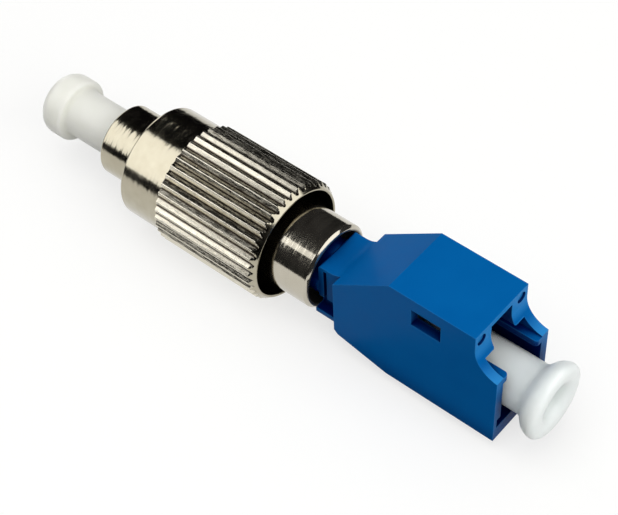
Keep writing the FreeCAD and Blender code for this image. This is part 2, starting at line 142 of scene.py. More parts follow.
# Satin: the rings spread a reflection, and the cloudy places spread it more
dullness = add_node(tree, "ShaderNodeMapRange", NOISE_SPAN | {"To Min": 0.11, "To Max": 0.19},
                    {"Value": clouds.outputs["Fac"]})
tree.links.new(dullness.outputs["Result"], shader.inputs["Roughness"])
squeeze = add_node(tree, "ShaderNodeMapping",
                   {"Scale": (per_mm(TOOL_RING), per_mm(RING_LENGTH), per_mm(RING_LENGTH))},
                   {"Vector": place})
rings = add_node(tree, "ShaderNodeTexNoise", {"Scale": 1.0, "Detail": 2.0},
                 {"Vector": squeeze.outputs["Vector"]})
relief = add_node(tree, "ShaderNodeBump", {"Strength": 1.0, "Distance": RING_RELIEF * MM},
                  {"Height": rings.outputs["Fac"]})
tree.links.new(relief.outputs["Normal"], shader.inputs["Normal"])
print("finish:", turned_nickel.name)

# %% [markdown]
# The grip of the nut is the same plated brass, but knurled: a wheel pressed its teeth in, which
# drags the skin of the metal along a little. So the flanks are duller than the collar, and fine marks
# run along them. The roots of the grooves are painted dark brown: partly a trace of polish, partly
# painted shade where little light gets in. How deep a spot lies is its distance from the axis,
# which the object coordinates give.

# %% Nickel plated brass, knurled

# Drag marks are about 0.04 mm wide; drawn at 0.13 mm so that they show at this image size
DRAG_WIDTH, DRAG_LENGTH, DRAG_RELIEF = 0.13, 0.7, 0.009
ROOT_LEVEL, FLANK_LEVEL = 4.73, 4.81


def distance_from_axis(tree, place):
    """How far a spot lies from the axis of the adapter, in metres."""
    across = add_node(tree, "ShaderNodeVectorMath",
                      {"operation": "MULTIPLY", 1: (0.0, 1.0, 1.0)}, {0: place})
    return add_node(tree, "ShaderNodeVectorMath", {"operation": "LENGTH"},
                    {0: across.outputs["Vector"]}).outputs["Value"]


knurled_nickel, tree, shader, place = start_finish("nickel_plated_brass_knurled", Metallic=1.0)
stretch = add_node(tree, "ShaderNodeMapping",
                   {"Scale": (per_mm(DRAG_LENGTH), per_mm(DRAG_WIDTH), per_mm(DRAG_WIDTH))},
                   {"Vector": place})
marks = add_node(tree, "ShaderNodeTexNoise", {"Scale": 1.0, "Detail": 2.0},
                 {"Vector": stretch.outputs["Vector"]})
metal = add_node(tree, "ShaderNodeMix",
                 {"data_type": "RGBA", COLOUR_A: linear("#C4BDAA"), COLOUR_B: linear("#E3DED0")},
                 {"Factor": marks.outputs["Fac"]})
# Painted shade with a trace of polish: towards the roots of the grooves the colour turns dark brown
out_of_root_shade = add_node(tree, "ShaderNodeMapRange",
                       {"From Min": ROOT_LEVEL * MM, "From Max": FLANK_LEVEL * MM},
                       {"Value": distance_from_axis(tree, place)})
colour = add_node(tree, "ShaderNodeMix", {"data_type": "RGBA", COLOUR_A: linear("#33261D")},
                  {"Factor": out_of_root_shade.outputs["Result"], COLOUR_B: metal.outputs[MIXED]})
tree.links.new(colour.outputs[MIXED], shader.inputs["Base Color"])
# A narrower span than the noise has, so that a mark is either dull or bright
dullness = add_node(tree, "ShaderNodeMapRange",
                    {"From Min": 0.35, "From Max": 0.65, "To Min": 0.16, "To Max": 0.3},
                    {"Value": marks.outputs["Fac"]})
tree.links.new(dullness.outputs["Result"], shader.inputs["Roughness"])
relief = add_node(tree, "ShaderNodeBump", {"Strength": 1.0, "Distance": DRAG_RELIEF * MM},
                  {"Height": marks.outputs["Fac"]})
tree.links.new(relief.outputs["Normal"], shader.inputs["Normal"])
print("finish:", knurled_nickel.name)

# %% [markdown]
# The rear sleeve has the same plating on a polished tube. It mirrors the room clearly: a dark
# canopy, one narrow lamp streak and the pale table. Fine scratches round it and a trace of
# waviness tell it from chrome, with less than a third of the relief of the turned pieces. The bore
# was only drilled, so it is duller and darker; the distance from the axis tells bore from outside.
# Behind the nut, where fingers reach it, a thin film greys the mirror.

# %% Nickel plated brass, polished

# Polishing rings are about 0.02 mm apart; drawn at 0.3 mm so that they show at this image size
POLISH_RING, POLISH_LENGTH, POLISH_RELIEF = 0.3, 2.0, 0.007
POLISH_WAVE = 1.6
BORE_LEVEL, SKIN_LEVEL, BORE_DULLNESS = 3.15, 3.25, 0.45
# The film sets in between these places along the axis, and takes this much off the mirror
FILM_STARTS, FILM_FULL, FILM_SHARE = 17.8, 18.4, 0.08

polished_nickel, tree, shader, place = start_finish("nickel_plated_brass_polished", Metallic=1.0)
waves = add_node(tree, "ShaderNodeTexNoise",
                 {"Scale": per_mm(POLISH_WAVE), "Detail": 3.0}, {"Vector": place})
colour = add_node(tree, "ShaderNodeMix",
                  {"data_type": "RGBA", COLOUR_A: linear("#B6B0A1"), COLOUR_B: linear("#C2BCAE")},
                  {"Factor": waves.outputs["Fac"]})
on_skin = add_node(tree, "ShaderNodeMapRange",
                   {"From Min": BORE_LEVEL * MM, "From Max": SKIN_LEVEL * MM},
                   {"Value": distance_from_axis(tree, place)})
drilled = add_node(tree, "ShaderNodeMix", {"data_type": "RGBA", COLOUR_A: linear("#6E6E6A")},
                   {"Factor": on_skin.outputs["Result"], COLOUR_B: colour.outputs[MIXED]})
tree.links.new(drilled.outputs[MIXED], shader.inputs["Base Color"])
dullness = add_node(tree, "ShaderNodeMapRange", NOISE_SPAN | {"To Min": 0.08, "To Max": 0.14},
                    {"Value": waves.outputs["Fac"]})
gloss = add_node(tree, "ShaderNodeMapRange", {"To Min": BORE_DULLNESS},
                 {"Value": on_skin.outputs["Result"], "To Max": dullness.outputs["Result"]})
tree.links.new(gloss.outputs["Result"], shader.inputs["Roughness"])
squeeze = add_node(tree, "ShaderNodeMapping",
                   {"Scale": (per_mm(POLISH_RING), per_mm(POLISH_LENGTH), per_mm(POLISH_LENGTH))},
                   {"Vector": place})
scratches = add_node(tree, "ShaderNodeTexNoise", {"Scale": 1.0, "Detail": 3.0},
                     {"Vector": squeeze.outputs["Vector"]})
relief = add_node(tree, "ShaderNodeBump", {"Strength": 1.0, "Distance": POLISH_RELIEF * MM},
                  {"Height": scratches.outputs["Fac"]})
tree.links.new(relief.outputs["Normal"], shader.inputs["Normal"])
# The film lies along the scratches and scatters light as a matt face does
position = add_node(tree, "ShaderNodeSeparateXYZ", {}, {"Vector": place})
handled = add_node(tree, "ShaderNodeMapRange",
                   {"From Min": FILM_STARTS * MM, "From Max": FILM_FULL * MM},
                   {"Value": position.outputs["X"]})
film = add_node(tree, "ShaderNodeMath", {"operation": "MULTIPLY"},
                {0: handled.outputs["Result"], 1: scratches.outputs["Fac"]})
haze = add_node(tree, "ShaderNodeMapRange", {"To Min": 1.0, "To Max": 1.0 - FILM_SHARE},
                {"Value": film.outputs["Value"]})
tree.links.new(haze.outputs["Result"], shader.inputs["Metallic"])
print("finish:", polished_nickel.name)

# %% [markdown]
# The socket is injection moulded PBT, a hard polyester, in the blue of this connector family. The
# blue drifts a little as the melt flowed. Its faces show next to no mirror image of the room, so
# the specular level is set far below what the IOR alone would give. In place of that mirror image
# a painted highlight makes the blue paler on the faces that look along the axis, and on the swept
# tops of the side walls close to the mouth, which lean that way. So the direction of a face, and
# for the sweep its place, tell where the blue is painted paler.

# %% PBT, moulded, blue: pigment and painted highlight at the mouth

FLOW_CLOUD = 2.4
# Axis share of the direction of a face on the mouth, and how much of the painted highlight it takes
MOUTH_FROM, MOUTH_TO, MOUTH_HIGHLIGHT = 0.88, 0.99, 0.65
# Product of the axis and the upward share on the sweep, and its place along the axis
SWEEP_FROM, SWEEP_TO = 0.03, 0.1
SWEEP_HIGHLIGHT_START, SWEEP_HIGHLIGHT_END = 36.6, 37.7

blue_pbt, tree, shader, place = start_finish("pbt_moulded_blue", IOR=1.57, Specular_IOR_Level=0.015)
flow = add_node(tree, "ShaderNodeTexNoise",
                {"Scale": per_mm(FLOW_CLOUD), "Detail": 3.0}, {"Vector": place})
colour = add_node(tree, "ShaderNodeMix",
                  {"data_type": "RGBA", COLOUR_A: linear("#00599E"), COLOUR_B: linear("#0061A7")},
                  {"Factor": flow.outputs["Fac"]})
facing = add_node(tree, "ShaderNodeSeparateXYZ", {},
                  {"Vector": add_node(tree, "ShaderNodeTexCoord", {}, {}).outputs["Normal"]})
# Painted highlight: faces that look along the axis get a paler blue
mouth_highlight = add_node(tree, "ShaderNodeMapRange",
                    {"From Min": MOUTH_FROM, "From Max": MOUTH_TO, "To Max": MOUTH_HIGHLIGHT},
                    {"Value": facing.outputs["X"]})
position = add_node(tree, "ShaderNodeSeparateXYZ", {}, {"Vector": place})
near_mouth = add_node(tree, "ShaderNodeMapRange",
                      {"From Min": SWEEP_HIGHLIGHT_START * MM, "From Max": SWEEP_HIGHLIGHT_END * MM},
                      {"Value": position.outputs["X"]})
lean = add_node(tree, "ShaderNodeMath", {"operation": "MULTIPLY"},
                {0: facing.outputs["X"], 1: facing.outputs["Z"]})
leaning = add_node(tree, "ShaderNodeMapRange", {"From Min": SWEEP_FROM, "From Max": SWEEP_TO},
                   {"Value": lean.outputs["Value"]})
sweep_highlight = add_node(tree, "ShaderNodeMath", {"operation": "MULTIPLY"},
                    {0: near_mouth.outputs["Result"], 1: leaning.outputs["Result"]})
painted_highlight = add_node(tree, "ShaderNodeMath", {"operation": "MAXIMUM"},
                   {0: mouth_highlight.outputs["Result"], 1: sweep_highlight.outputs["Value"]})
# Painted highlight colour, a paler blue, mixed in on the mouth faces and on the sweep
highlighted_blue = add_node(tree, "ShaderNodeMix", {"data_type": "RGBA", COLOUR_B: linear("#2B86CA")},
                  {"Factor": painted_highlight.outputs["Value"], COLOUR_A: colour.outputs[MIXED]})
print("pigment:", blue_pbt.name)

# %% [markdown]
# Light that bounces in a corner or a slot loses its red and green to the pigment, so there the
# blue is painted navy, as painted shade. Handling polishes the edges a trace paler, and the paler
# edges also stand in for the highlight that their small rounds catch: partly wear, partly painted
# highlight. Occlusion finds both: seen from outside the corners, seen from inside the edges. The
# mould was spark eroded and then polished, which leaves a fine even grain, so the relief stays
# shallow and the roughness changes slowly.

# %% PBT, moulded, blue: painted corner shade, edges and grain

# Spark grain is about 0.02 mm; drawn at 0.25 mm so that it shows at this image size
SPARK_GRAIN, SPARK_RELIEF = 0.25, 0.003
CORNER_REACH, CORNER_FROM, CORNER_TO = 4.0, 0.45, 0.9
EDGE_REACH, EDGE_FROM, EDGE_TO, EDGE_WEAR_AND_HIGHLIGHT = 0.12, 0.9, 0.5, 0.2

# Painted shade: where occlusion is high, in corners and slots, the blue is painted navy
openness = add_node(tree, "ShaderNodeAmbientOcclusion",
                    {"samples": 12, "Distance": CORNER_REACH * MM}, {})
out_of_corner_shade = add_node(tree, "ShaderNodeMapRange", {"From Min": CORNER_FROM, "From Max": CORNER_TO},
                         {"Value": openness.outputs["AO"]})
painted_corner_shade = add_node(tree, "ShaderNodeMix", {"data_type": "RGBA", COLOUR_A: linear("#001250")},
                    {"Factor": out_of_corner_shade.outputs["Result"], COLOUR_B: highlighted_blue.outputs[MIXED]})
# Partly edge wear, partly painted highlight: thin convex edges are painted a paler blue
thickness = add_node(tree, "ShaderNodeAmbientOcclusion",
                     {"samples": 8, "inside": True, "only_local": True, "Distance": EDGE_REACH * MM}, {})
edge_wear_and_highlight = add_node(tree, "ShaderNodeMapRange",
                   {"From Min": EDGE_FROM, "From Max": EDGE_TO, "To Max": EDGE_WEAR_AND_HIGHLIGHT},
                   {"Value": thickness.outputs["AO"]})
worn_and_highlit = add_node(tree, "ShaderNodeMix", {"data_type": "RGBA", COLOUR_B: linear("#3A8FD2")},
                {"Factor": edge_wear_and_highlight.outputs["Result"], COLOUR_A: painted_corner_shade.outputs[MIXED]})
tree.links.new(worn_and_highlit.outputs[MIXED], shader.inputs["Base Color"])
dullness = add_node(tree, "ShaderNodeMapRange", NOISE_SPAN | {"To Min": 0.28, "To Max": 0.38},
                    {"Value": flow.outputs["Fac"]})
tree.links.new(dullness.outputs["Result"], shader.inputs["Roughness"])
grain = add_node(tree, "ShaderNodeTexNoise",
                 {"Scale": per_mm(SPARK_GRAIN), "Detail": 2.0}, {"Vector": place})
relief = add_node(tree, "ShaderNodeBump", {"Strength": 1.0, "Distance": SPARK_RELIEF * MM},
                  {"Height": grain.outputs["Fac"]})
tree.links.new(relief.outputs["Normal"], shader.inputs["Normal"])
print("finish:", blue_pbt.name)

# %% [markdown]
# Both dust caps are soft polyethylene. The one on the plug is natural, without pigment: light goes
# in, scatters and comes out again, so it looks milky and its shadows are weak. The one in the
# socket is pigmented white and a trace cooler. Subsurface scattering gives both their softness.
# Deep in the barrel or the socket a cap only gets the light that the walls leave over, which is dim
# and takes their colour, so occlusion mixes in a painted shade colour there.

# %% Polyethylene, moulded, natural and white

WAX_CLOUD = 1.1
MOULD_RIPPLE, RIPPLE_RELIEF = 0.3, 0.008
WALL_REACH, WALL_FROM, WALL_TO = 8.0, 0.06, 0.14


def polyethylene(name, thin, thick, painted_shade, depth_mm):
    """Soft waxy plastic between two colours, a painted shade colour between walls, lit this many mm deep.
    """
    material, tree, shader, place = start_finish(
        name, IOR=1.51, Subsurface_Weight=1.0, Subsurface_Radius=(1.0, 1.0, 1.0),
        Subsurface_Scale=depth_mm * MM)
    wax = add_node(tree, "ShaderNodeTexNoise",
                   {"Scale": per_mm(WAX_CLOUD), "Detail": 3.0}, {"Vector": place})
    colour = add_node(tree, "ShaderNodeMix",
                      {"data_type": "RGBA", COLOUR_A: linear(thin), COLOUR_B: linear(thick)},
                      {"Factor": wax.outputs["Fac"]})
    # Painted shade: deep between walls the cap takes the darker colour
    openness = add_node(tree, "ShaderNodeAmbientOcclusion",
                        {"samples": 12, "Distance": WALL_REACH * MM}, {})
    in_the_open = add_node(tree, "ShaderNodeMapRange", {"From Min": WALL_FROM, "From Max": WALL_TO},
                           {"Value": openness.outputs["AO"]})
    shaded = add_node(tree, "ShaderNodeMix", {"data_type": "RGBA", COLOUR_A: linear(painted_shade)},
                      {"Factor": in_the_open.outputs["Result"], COLOUR_B: colour.outputs[MIXED]})
    tree.links.new(shaded.outputs[MIXED], shader.inputs["Base Color"])
    dullness = add_node(tree, "ShaderNodeMapRange", NOISE_SPAN | {"To Min": 0.3, "To Max": 0.42},
                        {"Value": wax.outputs["Fac"]})
    tree.links.new(dullness.outputs["Result"], shader.inputs["Roughness"])
    ripple = add_node(tree, "ShaderNodeTexNoise",
                      {"Scale": per_mm(MOULD_RIPPLE), "Detail": 2.0}, {"Vector": place})
    relief = add_node(tree, "ShaderNodeBump", {"Strength": 1.0, "Distance": RIPPLE_RELIEF * MM},
                      {"Height": ripple.outputs["Fac"]})
    tree.links.new(relief.outputs["Normal"], shader.inputs["Normal"])
    return material


natural_pe = polyethylene("polyethylene_moulded_natural", thin="#EEEEE5", thick="#F4F4EC",
                          painted_shade="#B9B7AC", depth_mm=0.8)
white_pe = polyethylene("polyethylene_moulded_white", thin="#E8EEEC", thick="#F0F4F2",
                        painted_shade="#16233F", depth_mm=0.6)
print("finishes:", natural_pe.name, "and", white_pe.name)

# %% [markdown]
# Some pieces only show when a cap is off. The ferrules and the split sleeve are zirconia, a
# ceramic ground to a fine cream gloss. The carrier behind them is turned stainless steel, the
# spring is drawn wire, and the tube that stands in the socket is moulded like the socket, in a
# deeper blue. One function serves all four: two colours, a grain size and how dull the grain is.

# %% Zirconia, stainless steel, spring wire and the inner tube

# How far the grain moves the dullness up and down, as a share of it
GRAIN_SWING = 0.2


def fine_grained(name, light, dark, grain_mm, stretched, dull, relief_mm, **settings):
    """Finish whose grain, stretched along the axis by a factor, mottles colour and gloss."""
    material, tree, shader, place = start_finish(name, **settings)
    stretch = add_node(tree, "ShaderNodeMapping",
                       {"Scale": (per_mm(grain_mm * stretched), per_mm(grain_mm), per_mm(grain_mm))},
                       {"Vector": place})
    grain = add_node(tree, "ShaderNodeTexNoise", {"Scale": 1.0, "Detail": 3.0},
                     {"Vector": stretch.outputs["Vector"]})
    colour = add_node(tree, "ShaderNodeMix",
                      {"data_type": "RGBA", COLOUR_A: linear(dark), COLOUR_B: linear(light)},
                      {"Factor": grain.outputs["Fac"]})
    tree.links.new(colour.outputs[MIXED], shader.inputs["Base Color"])
    swing = {"To Min": dull * (1 - GRAIN_SWING), "To Max": dull * (1 + GRAIN_SWING)}
    dullness = add_node(tree, "ShaderNodeMapRange", NOISE_SPAN | swing, {"Value": grain.outputs["Fac"]})
    tree.links.new(dullness.outputs["Result"], shader.inputs["Roughness"])
    relief = add_node(tree, "ShaderNodeBump", {"Strength": 1.0, "Distance": relief_mm * MM},
                      {"Height": grain.outputs["Fac"]})
    tree.links.new(relief.outputs["Normal"], shader.inputs["Normal"])
    return material


zirconia = fine_grained("zirconia_ground", "#F1EEE4", "#E6E1D3",
                        grain_mm=0.25, stretched=1.0, dull=0.16, relief_mm=0.001, IOR=2.16)
steel = fine_grained("stainless_steel_turned", "#C6C6C4", "#A9A9A8",
                     grain_mm=0.6, stretched=0.15, dull=0.3, relief_mm=0.004, Metallic=1.0)
wire = fine_grained("spring_steel_drawn", "#B4B2AE", "#8E8C88",
                    grain_mm=0.12, stretched=1.0, dull=0.34, relief_mm=0.002, Metallic=1.0)
tube_pbt = fine_grained("pbt_moulded_deep_blue", "#0A5596", "#084A86",
                        grain_mm=0.3, stretched=1.0, dull=0.32, relief_mm=0.004, IOR=1.57)
print("finishes:", zirconia.name, steel.name, wire.name, tube_pbt.name)

# %% [markdown]
# The solids of the housing, the barrel, the sleeve and the inner pieces have the right shape, so
# they stay, and modifiers dress them without touching them. Solids arrive with a fixed normal at
# every corner, which would go on showing the old flat faces. A small node group drops those, smooths
# every face and keeps an edge sharp only where its faces bend by more than an angle.

# %% Node group that smooths by angle

SMOOTH_BELOW = math.radians(32)


def smoothing_group():
    """Node group that drops the stored normals, smooths all faces and keeps sharp edges."""
    group = bpy.data.node_groups.new("smooth_by_angle", "GeometryNodeTree")
    for direction in ("INPUT", "OUTPUT"):
        group.interface.new_socket("Geometry", in_out=direction, socket_type="NodeSocketGeometry")
    start = add_node(group, "NodeGroupInput", {}, {})
    plain = add_node(group, "GeometryNodeRemoveAttribute", {"Name": "custom_normal"},
                     {"Geometry": start.outputs[0]})
    smooth = add_node(group, "GeometryNodeSetShadeSmooth", {"domain": "FACE", "Shade Smooth": True},
                      {"Geometry": plain.outputs["Geometry"]})
    bend = add_node(group, "GeometryNodeInputMeshEdgeAngle", {}, {})
    is_sharp = add_node(group, "FunctionNodeCompare",
                        {"data_type": "FLOAT", "operation": "GREATER_THAN", "B": SMOOTH_BELOW},
                        {"A": bend.outputs["Unsigned Angle"]})
    creased = add_node(group, "GeometryNodeSetShadeSmooth", {"domain": "EDGE", "Shade Smooth": False},
                       {"Geometry": smooth.outputs["Geometry"], "Selection": is_sharp.outputs["Result"]})
    add_node(group, "NodeGroupOutput", {}, {"Geometry": creased.outputs["Geometry"]})
    return group


smooth_by_angle = smoothing_group()
print("edges stay sharp above", round(math.degrees(SMOOTH_BELOW)), "degrees")

# %% [markdown]
# Real edges are never quite sharp, and it is the small round on an edge that catches light. So
# loose corners are welded, flat faces are joined, sharp edges get a narrow bevel, and the node
# group then smooths what is left. Last, the normals are weighed by face size, so that a large face
# stays flat right up to its bevel.

# %% Soft edges for the solids that stay

FLAT_BELOW = math.radians(0.6)
WELD_GAP = 0.0005 * MM
BEVEL_STEPS = 3


def weigh_normals(piece):
    """Modifier that lets large faces set the normals at their corners."""
    weighed = piece.modifiers.new("weighed_normals", "WEIGHTED_NORMAL")
    weighed.keep_sharp = True


def soften(solid, edge_mm):
    """Modifiers that give a solid's sharp edges a round of this width."""
    weld = solid.modifiers.new("weld", "WELD")
    weld.merge_threshold = WELD_GAP
    flatten = solid.modifiers.new("flatten", "DECIMATE")
    flatten.decimate_type = "DISSOLVE"
    flatten.angle_limit = FLAT_BELOW
    bevel = solid.modifiers.new("edge", "BEVEL")
    bevel.width = edge_mm * MM
    bevel.segments = BEVEL_STEPS
    bevel.limit_method = "ANGLE"
    bevel.angle_limit = SMOOTH_BELOW
    bevel.miter_outer = "MITER_ARC"
    smooth = solid.modifiers.new("smooth", "NODES")
    smooth.node_group = smooth_by_angle
    weigh_normals(solid)


# node: finish, width of its edge rounds in mm
KEPT_SOLIDS = {
    "lc_housing": (blue_pbt, 0.13),
    "plug_barrel": (turned_nickel, 0.05),
    "rear_sleeve": (polished_nickel, 0.05),
    "ferrule_fc": (zirconia, 0.04),
    "ferrule_lc": (zirconia, 0.03),
    "split_sleeve": (zirconia, 0.02),
    "ferrule_flange": (steel, 0.04),
    "lc_sleeve_holder": (tube_pbt, 0.04),
}
for node, (material, edge_mm) in KEPT_SOLIDS.items():
    for slot in nodes[node].material_slots:
        slot.material = material
    soften(nodes[node], edge_mm)
print("softened:", ", ".join(KEPT_SOLIDS))

# %% [markdown]
# Turned pieces that are made anew start from their outline, a list of points along the axis with
# a radius each. On a lathe each corner keeps the nose radius of the tool, so every corner carries
# its own round. A weighted curve with three control points makes it.

# %% Outline with rounded corners

ROUND_STEPS = 5
# A curve pulled to its middle point by this weight is a true arc at a right-angled corner
ARC_WEIGHT = math.cos(math.pi / 4)
# Rounds that share the middle of a side meet there, and one of the two points is left out
SAME_POINT = 1e-6


def rounded_outline(corners):
    """Outline of (x, radius) points in mm whose inner corners are rounded by their third value."""
    points = [np.array(corners[0][:2])]
    for before, corner, after in zip(corners, corners[1:], corners[2:]):
        middle = np.array(corner[:2])
        to_before = np.array(before[:2]) - middle
        to_after = np.array(after[:2]) - middle
        reach = min(corner[2], np.linalg.norm(to_before) / 2, np.linalg.norm(to_after) / 2)
        start = middle + to_before / np.linalg.norm(to_before) * reach
        end = middle + to_after / np.linalg.norm(to_after) * reach
        for t in np.linspace(0, 1, ROUND_STEPS + 1):
            shares = np.array([(1 - t) ** 2, 2 * t * (1 - t) * ARC_WEIGHT, t ** 2])
            point = (shares[0] * start + shares[1] * middle + shares[2] * end) / shares.sum()
            if np.linalg.norm(point - points[-1]) > SAME_POINT:
                points.append(point)
    points.append(np.array(corners[-1][:2]))
    return points


print("each round has", ROUND_STEPS, "steps")

# %% [markdown]
# Each point of an outline becomes a ring about the axis, and rows of quads join the rings. A mesh
# from code is exact and the same on every run. A screw modifier on a curve would do for the caps,
# but only rings let the radius change with the angle, as the knurl needs.

# %% From rings to a piece


def joined_rings(name, rings, closed):
    """Mesh of rings of points in mm, joined in rows; a closed one also joins its last to its first."""
    count, across = len(rings), len(rings[0])
    vertices = [tuple(point) for ring in rings for point in ring * MM]
    faces = []
    for row in range(count if closed else count - 1):
        above = (row + 1) % count
        for step in range(across):
            side = (step + 1) % across
            faces.append((row * across + step, row * across + side,
                          above * across + side, above * across + step))
    if not closed:
        faces.append(tuple(reversed(range(across))))
        faces.append(tuple(range((count - 1) * across, count * across)))
    mesh = bpy.data.meshes.new(name)
    mesh.from_pydata(vertices, [], faces)
    mesh.validate()
    mesh.shade_smooth()
    mesh.set_sharp_from_angle(angle=SMOOTH_BELOW)
    return mesh


def ring_mesh(name, x_rows, radius_rows, angles, closed):
    """Mesh of rings about the axis, each with one radius or with one for each angle."""
    rings = []
    for x, radius in zip(x_rows, radius_rows):
        radii = np.broadcast_to(radius, len(angles))
        along = np.full(len(angles), x)
        rings.append(np.column_stack([along, -radii * np.sin(angles), radii * np.cos(angles)]))
    return joined_rings(name, rings, closed)


def add_piece(name, mesh, material, node, body):
    """Object of a mesh that stands for a solid, rides on a body and has one finish."""
    mesh.materials.append(material)
    piece = bpy.data.objects.new(name, mesh)
    bpy.context.scene.collection.objects.link(piece)
    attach(piece, body)
    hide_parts(node)
    print(f"{name}: {len(mesh.polygons)} faces")
    return piece


print("turning helpers ready")

# %% [markdown]
# The coupling nut is the piece the hand turns, and its straight knurl is what the eye goes to:
# forty V grooves with narrow crests. Bump could not give that outline, so each ring of the mesh has
# twelve points a tooth, and a function gives the radius of the grooves at each of them. The thread
# in the mouth is a real helix, made the same way from the inside.

# %% Knurl and thread of the coupling nut

KNURL_RADIUS = 5.0
TEETH, GROOVE_WIDTH, GROOVE_DEPTH = 40, 0.68, 0.3
CREST_ROUND, ROOT_ROUND = 0.03, 0.03
# Points over half a tooth as distances from the middle of its groove, closer at root and crest
HALF_TOOTH = [0.0, 0.035, 0.17, 0.3, 0.335, 0.36]
THREAD_PITCH, THREAD_MINOR, THREAD_MAJOR = 0.75, 3.6, 4.0
# Half the flat top of a thread ridge and one of its flanks, as shares of the pitch
RIDGE_TOP, RIDGE_FLANK = 1 / 16, 1 / 4

tooth_pitch = 2 * math.pi * KNURL_RADIUS / TEETH
tooth_points = [-tooth_pitch / 2] + [-d for d in reversed(HALF_TOOTH[1:])] + HALF_TOOTH
nut_angles = np.concatenate(
    [(np.array(tooth_points) + tooth * tooth_pitch) / KNURL_RADIUS for tooth in range(TEETH)])


def groove_radius(angles):
    """Radius of the grooves all round: straight flanks, small rounds at root and crest."""
    arc = angles * KNURL_RADIUS
    from_middle = np.abs((arc + tooth_pitch / 2) % tooth_pitch - tooth_pitch / 2)
    soft_middle = np.sqrt(from_middle ** 2 + ROOT_ROUND ** 2)
    inside = GROOVE_WIDTH / 2 - soft_middle
    depth = (inside + np.sqrt(inside ** 2 + CREST_ROUND ** 2)) / 2
    return KNURL_RADIUS - depth * GROOVE_DEPTH / (GROOVE_WIDTH / 2)


def thread_radius(x, angles):
    """Radius of the thread at one place along the axis: a helix of cut-off V grooves."""
    turn = (x / THREAD_PITCH + angles / (2 * math.pi)) % 1
    from_top = np.abs(turn - 0.5) - RIDGE_TOP
    ridge = np.clip(1 - from_top / RIDGE_FLANK, 0, 1)
    return THREAD_MAJOR - ridge * (THREAD_MAJOR - THREAD_MINOR)


print("points round the nut:", len(nut_angles))

# %% [markdown]
# The rest of the nut is turned: a plain collar, the grip with a chamfer at its rim, an open bell
# behind and a shoulder inside. Where the chamfer cuts the grooves, every crest ends in a bright
# little triangle. It takes many rings there to draw its sides straight, and a few on the step at
# the other end of the grip.

# %% Outline of the coupling nut

NUT_FRONT, NUT_BACK = 3.6, 17.5
COLLAR_RADIUS, COLLAR_EDGE = 4.65, 0.2
KNURL_START, KNURL_STEP = 7.5, 0.1
RIM_CHAMFER, RIM_DROP = 0.55, 0.4
BELL_RADIUS, BELL_CHAMFER = 4.45, 0.06
SHOULDER_FRONT, SHOULDER_BACK, SHOULDER_BORE = 9.2, 10.6, 3.06
MOUTH_EDGE = 0.05
# Where the extra rings lie, as shares of the way down the chamfer and up the step
CHAMFER_SHARES = np.linspace(0.08, 0.9, 12)
STEP_SHARES = np.linspace(0.15, 0.8, 5)

# Place along the axis, radius and round of each corner, from the mouth over the grip to the shoulder
nut_outline = rounded_outline([
    (NUT_FRONT, THREAD_MAJOR + MOUTH_EDGE, 0.0),
    (NUT_FRONT, COLLAR_RADIUS, COLLAR_EDGE),
    (KNURL_START, COLLAR_RADIUS, 0.02),
    (KNURL_START + KNURL_STEP, KNURL_RADIUS, 0.04),
    (NUT_BACK - RIM_CHAMFER, KNURL_RADIUS, 0.03),
    (NUT_BACK, KNURL_RADIUS - RIM_DROP, 0.04),
    (NUT_BACK, BELL_RADIUS + BELL_CHAMFER, 0.03),
    (NUT_BACK - BELL_CHAMFER, BELL_RADIUS, 0.03),
    (SHOULDER_BACK, BELL_RADIUS, 0.1),
    (SHOULDER_BACK, SHOULDER_BORE, 0.05),
    (SHOULDER_FRONT, SHOULDER_BORE, 0.05),
    (SHOULDER_FRONT, THREAD_MAJOR, 0.0),
])
chamfer_rings = [(NUT_BACK - RIM_CHAMFER * (1 - share), KNURL_RADIUS - RIM_DROP * share)
                 for share in CHAMFER_SHARES]
step_rings = [(KNURL_START + KNURL_STEP * share, COLLAR_RADIUS + (KNURL_RADIUS - COLLAR_RADIUS) * share)
              for share in STEP_SHARES]
for extra_rings in (chamfer_rings, step_rings):
    first_beyond = next(row for row, point in enumerate(nut_outline) if point[0] > extra_rings[-1][0])
    nut_outline[first_beyond:first_beyond] = extra_rings
print("rings of the nut outside its thread:", len(nut_outline))

# %% [markdown]
# Now the two are put together. On the grip a ring takes the smaller of the turned outline and the
# groove at each angle, which is what cutting a groove into a turned piece does. The rings of the
# thread follow, and close the mesh at the mouth. The knurled finish goes on the faces of the grip
# and stops at the chamfer, which was turned after the knurl.

# %% Knurled coupling nut

# Whatever lies further out than this is the outside of the nut, not its bell
OUTSIDE_LEVEL = 4.55
# Thread rings in a turn, and how far the thread stays off the shoulder and the mouth
THREAD_STEPS, THREAD_RUNOUT, THREAD_LEAD_IN = 8, 0.05, 0.3
# Axis share of the direction of a face, above which it belongs to the chamfer
CHAMFER_LEAN = 0.3

